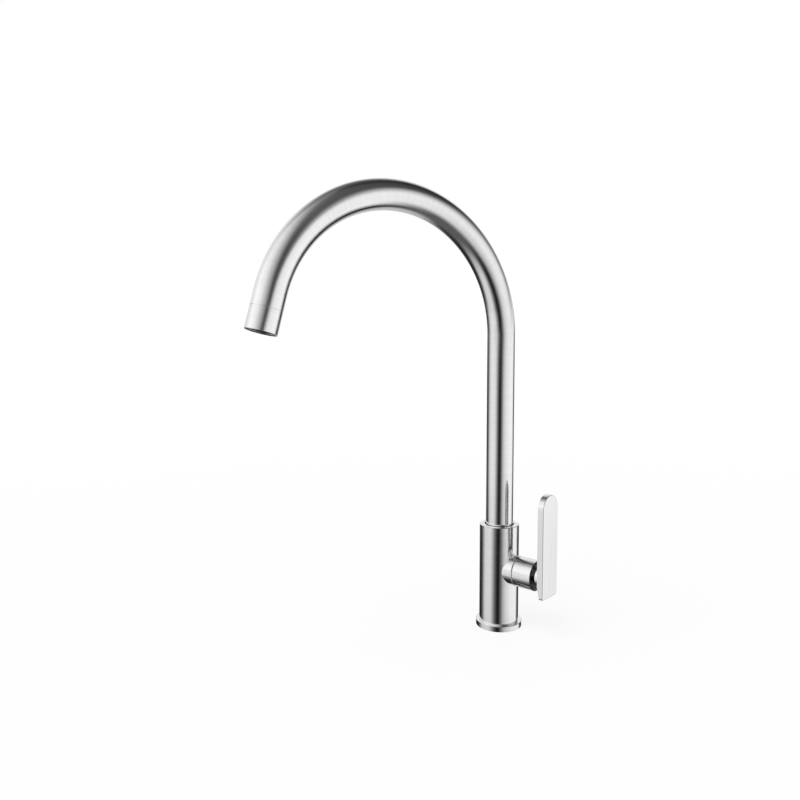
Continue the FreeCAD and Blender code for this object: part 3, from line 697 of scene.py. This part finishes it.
def thread_tree():
    """A tail with a turned thread, a relief groove, a chamfer and a bore.

    The grid's columns climb the outside, and the last three come down the bore and close on the first.
    """
    graph, size = new_geometry_tree("shank_thread", (
        "Radius", "Pitch", "Depth", "Bore", "Chamfer", "Low", "High", "Groove Top", "Groove Length",
        "Groove Depth"), {"Rows": "Int", "Sides": "Int"})
    rows = size["Rows"]
    grid, column, turn = unit_grid(graph, rows + 4, size["Sides"] + 1)
    column = column % (rows + 3)
    outside = column < rows + 0.5
    whole = size["High"] - size["Low"]
    out_height = size["Low"] + whole * (column / rows)
    back_height = size["Low"] + whole * (rows + 2 - column)
    height = out_height * outside + back_height * (1 - outside)
    phase = graph.math("FRACT", height / size["Pitch"] - turn + TURNS_BELOW)
    slope = graph.math("ABSOLUTE", phase * 2 - 1)
    crest = graph.span(slope, *THREAD_FLANK)
    threaded = size["Radius"] - size["Depth"] * (1 - crest)
    groove_low = size["Groove Top"] - size["Groove Length"]
    in_groove = (height > groove_low) * (height < size["Groove Top"])
    groove_cut = size["Radius"] - size["Groove Depth"] * in_groove
    cone = size["Radius"] - size["Chamfer"] + (height - size["Low"])
    outer = graph.math("MINIMUM", graph.math("MINIMUM", threaded, groove_cut), cone)
    radius = outer * outside + size["Bore"] * (1 - outside)
    round_angle = turn * math.tau
    place = graph.combine(graph.math("COSINE", round_angle) * radius,
                          graph.math("SINE", round_angle) * radius, height)
    shaped = graph.add("GeometryNodeSetPosition", None, {"Geometry": grid, "Position": place})
    return end_tube(graph, shaped, size["Material"])


def woven_wires(graph, size, quarter_turns):
    """One set of parallel wires, each waving over and under the wires that cross it."""
    clear = size["Radius"] - size["Rim"] * 0.5
    wires = graph.math("FLOOR", clear * 2 / size["Pitch"])
    row = graph.add("GeometryNodeMeshLine", {"mode": "OFFSET"}, {
        "Count": wires, "Start Location": graph.combine((wires - 1) * size["Pitch"] * -0.5, 0.0, 0.0),
        "Offset": graph.combine(size["Pitch"], 0.0, 0.0)})
    x = graph.separate(graph.add("GeometryNodeInputPosition"))[0]
    chord = graph.math("SQRT", graph.math("MAXIMUM", clear * clear - x * x, 0.0))
    wire = graph.add("GeometryNodeCurvePrimitiveLine", None, {"Start": (0, -1, 0), "End": (0, 1, 0)})
    fine = graph.add("GeometryNodeResampleCurve", None, {"Curve": wire, "Count": WIRE_POINTS})
    placed = graph.add("GeometryNodeInstanceOnPoints", None, {
        "Points": row, "Instance": fine, "Scale": graph.combine(1.0, chord, 1.0)})
    loose = graph.add("GeometryNodeRealizeInstances", None, {"Geometry": placed})
    x, y = graph.separate(graph.add("GeometryNodeInputPosition"))[:2]
    half = (wires - 1) * 0.5
    number = graph.math("ROUND", x / size["Pitch"] + half)
    wave = graph.math("COSINE", (y / size["Pitch"] + half + number + quarter_turns) * math.pi)
    lifted = graph.add("GeometryNodeSetPosition", None, {
        "Geometry": loose, "Offset": graph.combine(0.0, 0.0, wave * size["Wire"])})
    profile = graph.add("GeometryNodeCurvePrimitiveCircle", None, {
        "Resolution": size["Sides"], "Radius": size["Wire"]})
    solid = graph.add("GeometryNodeCurveToMesh", None, {
        "Curve": lifted, "Profile Curve": profile, "Fill Caps": True})
    return graph.add("GeometryNodeTransform", None, {
        "Geometry": solid, "Rotation": (0, 0, quarter_turns * math.pi / 2)})


def screen_tree():
    """A woven wire screen in a flat rim, laid at the outlet with its lower face at the given place."""
    graph, size = new_geometry_tree("woven_screen", (
        "Radius", "Rim", "Pitch", "Wire", "Thickness"), {
        "Sides": "Int", "Place": "Vector", "Turn": "Vector"})
    wires = graph.add("GeometryNodeJoinGeometry")
    for quarter_turns in (0, 1):
        graph.tree.links.new(woven_wires(graph, size, quarter_turns).socket,
                             wires.socket.node.inputs["Geometry"])
    circle = graph.add("GeometryNodeCurvePrimitiveCircle", None, {
        "Resolution": CIRCLE_SIDES, "Radius": size["Radius"] - size["Rim"] * 0.5})
    band = graph.add("GeometryNodeCurvePrimitiveQuadrilateral", None, {
        "Width": size["Rim"], "Height": size["Thickness"]})
    rim = graph.add("GeometryNodeCurveToMesh", None, {"Curve": circle, "Profile Curve": band})
    graph.tree.links.new(rim.socket, wires.socket.node.inputs["Geometry"])
    laid = graph.add("GeometryNodeTransform", None, {
        "Geometry": wires, "Translation": size["Place"], "Rotation": size["Turn"]})
    end_tree(graph, laid, size["Material"])
    return graph.tree


# ---- the studio that the metal reflects ----
# The tables give the light of walls and ceiling, by degrees from the camera's side to the picture's
# right, but EAVES gives the height where the walls end, as a share of a right angle. Each pair below
# them gives the heights in degrees where a change starts and is done.
FOOT_WALLS = [
    (-180, 0.55), (-166, 0.45), (-152, 0.03), (-128, 0.01), (-117, 0.06), (-106, 0.22), (-97, 0.46),
    (-88, 0.64), (-57, 0.69), (-46, 0.60), (-36, 0.34), (-26, 0.13), (-14, 0.02), (-4, 0.0),
    (3, 0.03), (12, 0.15), (24, 0.42), (36, 0.60), (59, 0.77), (73, 0.84), (118, 0.88), (129, 0.10),
    (140, 0.0), (154, 0.03), (168, 0.45), (180, 0.55)]
LOW_WALLS = [
    (-180, 0.60), (-166, 0.50), (-152, 0.02), (-130, 0.05), (-119, 0.15), (-107, 0.40), (-96, 0.64),
    (-86, 0.75), (-60, 0.77), (-48, 0.74), (-36, 0.53), (-24, 0.18), (-12, 0.02), (-2, 0.0),
    (4, 0.03), (14, 0.18), (24, 0.46), (36, 0.66), (60, 0.82), (100, 0.92), (121, 0.90),
    (132, 0.25), (144, 0.06), (156, 0.03), (168, 0.50), (180, 0.60)]
HIGH_WALLS = [
    (-180, 0.80), (-110, 0.75), (-75, 1.0), (-50, 0.90), (-36, 0.84), (0, 0.42), (24, 0.08),
    (34, 0.05), (44, 0.10), (76, 0.80), (98, 0.85), (124, 0.28), (140, 0.22), (160, 0.80),
    (180, 0.80)]
EAVES = [
    (-180, 0.55), (-156, 0.52), (-132, 0.56), (-120, 0.62), (-96, 0.64), (-84, 0.75), (-60, 0.78),
    (0, 0.74), (40, 0.29), (110, 0.27), (140, 0.31), (160, 0.55), (180, 0.55)]
CEILING = [
    (-180, 0.07), (-120, 0.16), (-60, 0.20), (0, 0.16), (40, 0.09), (96, 0.05), (130, 0.02),
    (160, 0.05), (180, 0.07)]
SUNK = (-11.0, -16.0)  # from the low walls to their foot
RAISED = (-2.0, 14.0)  # from the low walls to the high ones
UNDER = (-36.0, -74.0)  # from the walls to the grey below
DIMMED = (25.0, 60.0)  # the high walls dim
DIM_SHARE = 0.76  # what they keep of their light
EAVES_BLUR = 18.0  # degrees of blur on each side of the eaves
HIGH_TURN = 34.0  # degrees that the pattern slides from the low walls to the high ones
FLOOR_GREY = 0.10  # light from below the walls
STEEP = (0.64, 0.16)  # what the floor's Facing says, from a shallow look to a steep one


def by_turn(graph, degrees, table):
    """What a table says at these degrees. A whole turn is added, so none is negative."""
    turn = (degrees / 360.0 + 1.5).math("FRACT")
    stops = [(degrees_there / 360 + 0.5, grey) for degrees_there, grey in table]
    return graph.add("ShaderNodeValToRGB", {"stops": stops}, {"Fac": turn})


# ---- operators ----
class FAUCET_OT_camera(bpy.types.Operator):
    """Puts the camera at the picture's viewing angle"""

    bl_idname = "faucet.camera"
    bl_label = "Camera"

    def execute(self, context):
        view = settings().camera
        turned_about = Matrix.Rotation(view.heading, 4, "Z")
        tilted = Matrix.Rotation(math.pi / 2 - view.pitch, 4, "X")
        data = bpy.data.cameras.new("camera")
        data.lens = view.lens
        data.sensor_width = 36
        data.clip_start = 0.01
        data.clip_end = 50
        camera = bpy.data.objects.new("camera", data)
        context.scene.collection.objects.link(camera)
        camera.matrix_world = (Matrix.Translation(view.place) @ turned_about @ tilted
                               @ Matrix.Rotation(view.roll, 4, "Z"))
        context.scene.camera = camera
        return {"FINISHED"}


class FAUCET_OT_stage(bpy.types.Operator):
    """Makes the pale floor, the soft lamp and the studio that the metal reflects"""

    bl_idname = "faucet.stage"
    bl_label = "Floor, Lamp and Studio"

    def execute(self, context):
        look = settings().stage
        context.scene.view_settings.view_transform = "Standard"
        self.make_floor(context, look)
        self.make_lamp(context, look)
        self.make_world(context, look)
        return {"FINISHED"}

    def make_floor(self, context, look):
        shape = bmesh.new()
        rings = []
        for radius in (look.tap_hole, look.floor_radius):
            corners = [Matrix.Rotation(math.tau * i / CIRCLE_SIDES, 3, "Z") @ Vector((radius, 0, 0))
                       for i in range(CIRCLE_SIDES)]
            rings.append([shape.verts.new(corner) for corner in corners])
        inner, outer = rings
        for i in range(CIRCLE_SIDES):
            j = (i + 1) % CIRCLE_SIDES
            shape.faces.new((inner[i], outer[i], outer[j], inner[j]))
        mesh = bpy.data.meshes.new("floor")
        shape.to_mesh(mesh)
        shape.free()
        floor = bpy.data.objects.new("floor", mesh)
        context.scene.collection.objects.link(floor)
        mesh.materials.append(self.floor_material(look))

    def floor_material(self, look):
        """Pale where the camera sees it; metal sees the studio through it, but for a dark patch."""
        material = bpy.data.materials.new("pale_floor")
        material.use_nodes = True
        graph = Graph(material.node_tree)
        lit = graph.add("ShaderNodeBsdfDiffuse", None, {"Color": (*look.floor, 1.0)})
        white = graph.add("ShaderNodeEmission", None, {"Color": (1, 1, 1, 1), "Strength": 1.0})
        distance = graph.vector("LENGTH", object_place(graph), out="Value")
        glow = graph.span(distance, look.glow_start, look.glow_end, to_low=look.floor_glow, smooth=True)
        rays = graph.add("ShaderNodeLightPath", out="Is Camera Ray")
        mixed = graph.add("ShaderNodeMixShader", None, {0: rays * glow, 1: lit, 2: white})
        facing = graph.add("ShaderNodeLayerWeight", None, {"Blend": 0.5}, "Facing")
        steep = graph.span(facing, *STEEP)
        near = graph.span(rays.out("Ray Length"), look.patch_reach, look.patch_reach / 2, smooth=True)
        from_patch = graph.vector("DISTANCE", object_place(graph), tuple(look.patch_place), out="Value")
        inside = graph.span(from_patch, look.patch_radius, look.patch_radius / 2, smooth=True)
        clear = graph.add("ShaderNodeBsdfTransparent")
        dark = graph.add("ShaderNodeEmission", None, {"Color": (1, 1, 1, 1),
                                                      "Strength": look.patch_shade})
        reflected = graph.add("ShaderNodeMixShader", None, {0: steep * near * inside, 1: clear,
                                                            2: dark})
        shown = graph.add("ShaderNodeMixShader", None, {0: rays.out("Is Glossy Ray"), 1: mixed,
                                                        2: reflected})
        graph.add("ShaderNodeOutputMaterial", None, {"Surface": shown})
        return material

    def make_lamp(self, context, look):
        data = bpy.data.lights.new("soft_lamp", "SUN")
        data.energy = look.sun
        data.angle = look.sun_softness
        lamp = bpy.data.objects.new("soft_lamp", data)
        context.scene.collection.objects.link(lamp)
        lamp.rotation_euler = (math.pi / 2 - look.sun_height, 0, look.camera_side + LAMP_TURN)
        lamp.visible_glossy = False

    def make_world(self, context, look):
        world = bpy.data.worlds.new("studio")
        context.scene.world = world
        world.use_nodes = True
        graph = Graph(world.node_tree)
        direction = graph.add("ShaderNodeTexCoord", out="Generated")
        x, y, z = graph.separate(graph.add(
            "ShaderNodeVectorRotate", {"rotation_type": "Z_AXIS"},
            {"Vector": direction, "Angle": -look.camera_side}))
        heading = graph.math("DEGREES", graph.math("ARCTAN2", y, x))
        height = graph.math("DEGREES", graph.math("ARCSINE", z))
        sunk = graph.span(height, *SUNK, smooth=True)
        raised = graph.span(height, *RAISED, smooth=True)
        foot = by_turn(graph, heading, FOOT_WALLS)
        low = by_turn(graph, heading - raised * HIGH_TURN, LOW_WALLS)
        low = low + (foot - low) * sunk
        high = by_turn(graph, heading + (1 - raised) * HIGH_TURN, HIGH_WALLS)
        walls = (low + (high - low) * raised) * graph.span(height, *DIMMED, 1.0, DIM_SHARE)
        eaves = by_turn(graph, heading, EAVES) * 90
        ceiling = by_turn(graph, heading, CEILING)
        above = graph.span(height - eaves, -EAVES_BLUR, EAVES_BLUR, smooth=True)
        below = graph.span(height, *UNDER, smooth=True)
        studio = walls + (ceiling - walls) * above
        studio = (studio + (FLOOR_GREY - studio) * below) * look.studio_light
        rays = graph.add("ShaderNodeLightPath", out="Is Glossy Ray")
        seen = rays.out("Is Camera Ray") + rays.out("Is Transmission Ray")
        plain = look.plain_light + (studio - look.plain_light) * rays
        shown = plain + (1 - plain) * graph.math("MINIMUM", seen, 1.0)
        background = graph.add("ShaderNodeBackground", None, {"Color": shown, "Strength": 1.0})
        graph.add("ShaderNodeOutputWorld", None, {"Surface": background})


class FAUCET_OT_gooseneck(bpy.types.Operator):
    """Bends the tube of the gooseneck"""

    bl_idname = "faucet.gooseneck"
    bl_label = "Gooseneck Tube"

    def execute(self, context):
        size = settings().tube
        piece = made_by(gooseneck_tree(), "gooseneck_tube", {
            "Radius": size.radius, "Wall": size.wall, "Bend Radius": size.bend_radius,
            "Bend Angle": size.bend_angle, "Foot": size.foot, "Spring Height": size.spring_height,
            "Run": size.outlet_run - size.sleeve, "Edge Break": size.edge,
            "Rest Angle": size.rest_angle, "Rows": size.rows, "Sides": size.sides,
            "Material": steel_surface("brushed_tube", round_tube, settings().finish)})
        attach(piece, "spout")
        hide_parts("spout_tube")
        return {"FINISHED"}


class FAUCET_OT_shank(bpy.types.Operator):
    """Cuts the thread of the tail under the worktop"""

    bl_idname = "faucet.shank"
    bl_label = "Threaded Tail"

    def execute(self, context):
        size = settings().thread
        whole = SHANK_HIGH.z - SHANK_LOW.z
        piece = made_by(thread_tree(), "shank_thread", {
            "Radius": size.radius, "Pitch": size.pitch, "Depth": size.depth, "Bore": size.bore,
            "Chamfer": size.chamfer, "Low": SHANK_LOW.z, "High": SHANK_HIGH.z,
            "Groove Top": size.groove_top, "Groove Length": size.groove_length,
            "Groove Depth": size.groove_depth, "Rows": round(whole / size.pitch * size.rows_per_turn),
            "Sides": size.sides, "Material": bpy.data.materials["turned_brass"]})
        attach(piece, "tap_body")
        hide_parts("threaded_shank")
        return {"FINISHED"}


class FAUCET_OT_screen(bpy.types.Operator):
    """Weaves the screen behind the aerator"""

    bl_idname = "faucet.screen"
    bl_label = "Woven Screen"

    def execute(self, context):
        size = settings().screen
        piece = made_by(screen_tree(), "woven_screen", {
            "Radius": size.radius, "Rim": size.rim, "Pitch": size.pitch, "Wire": size.wire,
            "Thickness": size.thickness, "Sides": size.sides, "Place": (SCREEN_LOW + SCREEN_HIGH) / 2,
            "Turn": FLOW.to_track_quat("Z", "Y").to_euler(),
            "Material": bpy.data.materials["plain_steel"]})
        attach(piece, "spout")
        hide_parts("aerator_screen")
        return {"FINISHED"}


class FAUCET_OT_body(bpy.types.Operator):
    """Finishes the body and its base flange"""

    bl_idname = "faucet.body"
    bl_label = "Body and Flange"

    def execute(self, context):
        finish = settings().finish
        shell = steel_surface("brushed_body", body_and_boss, finish)
        # painted shade in the groove round the tube
        dress(painted_shade(shell, rim_groove(finish), finish.painted_shade), "body_shell")
        dress(steel_surface("brushed_flange", turned((0, 0, 0), UP), finish), "base_flange")
        return {"FINISHED"}


class FAUCET_OT_outlet(bpy.types.Operator):
    """Finishes the outlet's sleeve and its aerator"""

    bl_idname = "faucet.outlet"
    bl_label = "Outlet"

    def execute(self, context):
        finish = settings().finish
        dress(steel_surface("brushed_outlet", turned(OUTLET, FLOW), finish), "outlet_sleeve")
        # painted shade: the aerator's plastic is near-black for the shade inside the mouth
        dress(moulded_plastic("dark_plastic", finish.aerator), "aerator_housing", "aerator_grid",
              "aerator_diffuser")
        return {"FINISHED"}


class FAUCET_OT_lever(bpy.types.Operator):
    """Finishes the lever's hub, neck, paddle and plug"""

    bl_idname = "faucet.lever"
    bl_label = "Lever"

    def execute(self, context):
        finish = settings().finish
        hub = steel_surface("brushed_hub", turned(VALVE_PLACE, VALVE_WAY), finish)
        # painted shade on the hub's end, in the gap behind the paddle
        dress(painted_shade(hub, hub_end(finish), finish.painted_shade), "lever_hub")
        dress(steel_surface("brushed_paddle", lengthways, finish, 0.5), "lever_plate")
        neck = steel_surface("turned_steel", turned(VALVE_PLACE, VALVE_WAY), finish, 0.4, 2.0)
        dress(neck, "neck_ring")
        dress(moulded_plastic("grey_plug", finish.plug), "grub_plug")
        return {"FINISHED"}


class FAUCET_OT_inside(bpy.types.Operator):
    """Finishes the valve, the seals and the fasteners"""

    bl_idname = "faucet.inside"
    bl_label = "Valve, Seals and Fasteners"

    def execute(self, context):
        finish = settings().finish
        dress(turned_brass(finish), "valve_cage", "valve_spindle", "spout_tail", "clamp_nut")
        dress(moulded_rubber(finish), "base_gasket", "shank_seal", "rubber_washer", "cage_o_ring",
              "seat_seal", "tail_o_rings", "spindle_o_rings", "aerator_washer")
        dress(lapped_ceramic(finish), "fixed_disc", "turning_disc")
        dress(moulded_plastic("pale_plastic", finish.acetal), "thrust_ring")
        dress(plain_steel(finish), "steel_washer", "spout_stop_screw", "spindle_circlip",
              "grub_screw", "plate_screws")
        return {"FINISHED"}


# ---- sidebar and registration ----
OPERATORS = (FAUCET_OT_camera, FAUCET_OT_stage, FAUCET_OT_inside, FAUCET_OT_body, FAUCET_OT_outlet,
             FAUCET_OT_lever, FAUCET_OT_gooseneck, FAUCET_OT_shank, FAUCET_OT_screen)
GROUPS = (CameraView, TubeSizes, ThreadSizes, ScreenSizes, Finishes, StageLook, FaucetSettings)


class FAUCET_PT_sidebar(bpy.types.Panel):
    """Lists the faucet's operators and settings"""

    bl_idname = "FAUCET_PT_sidebar"
    bl_label = "Gooseneck Bar Faucet"
    bl_space_type = "VIEW_3D"
    bl_region_type = "UI"
    bl_category = "Faucet"

    def draw(self, context):
        for operator in OPERATORS:
            self.layout.operator(operator.bl_idname)
        for group_name in FaucetSettings.__annotations__:
            group = getattr(context.scene.faucet, group_name)
            box = self.layout.box()
            box.label(text=group_name.capitalize())
            for size_name in type(group).__annotations__:
                box.prop(group, size_name)


def register():
    for group in GROUPS:
        bpy.utils.register_class(group)
    for operator in OPERATORS:
        bpy.utils.register_class(operator)
    bpy.utils.register_class(FAUCET_PT_sidebar)
    bpy.types.Scene.faucet = PointerProperty(type=FaucetSettings)


def unregister():
    del bpy.types.Scene.faucet
    bpy.utils.unregister_class(FAUCET_PT_sidebar)
    for group in reversed(GROUPS + OPERATORS):
        bpy.utils.unregister_class(group)


def main():
    register()
    for operator in OPERATORS:
        area, name = operator.bl_idname.split(".")
        getattr(getattr(bpy.ops, area), name)()


if __name__ == "__main__":
    main()
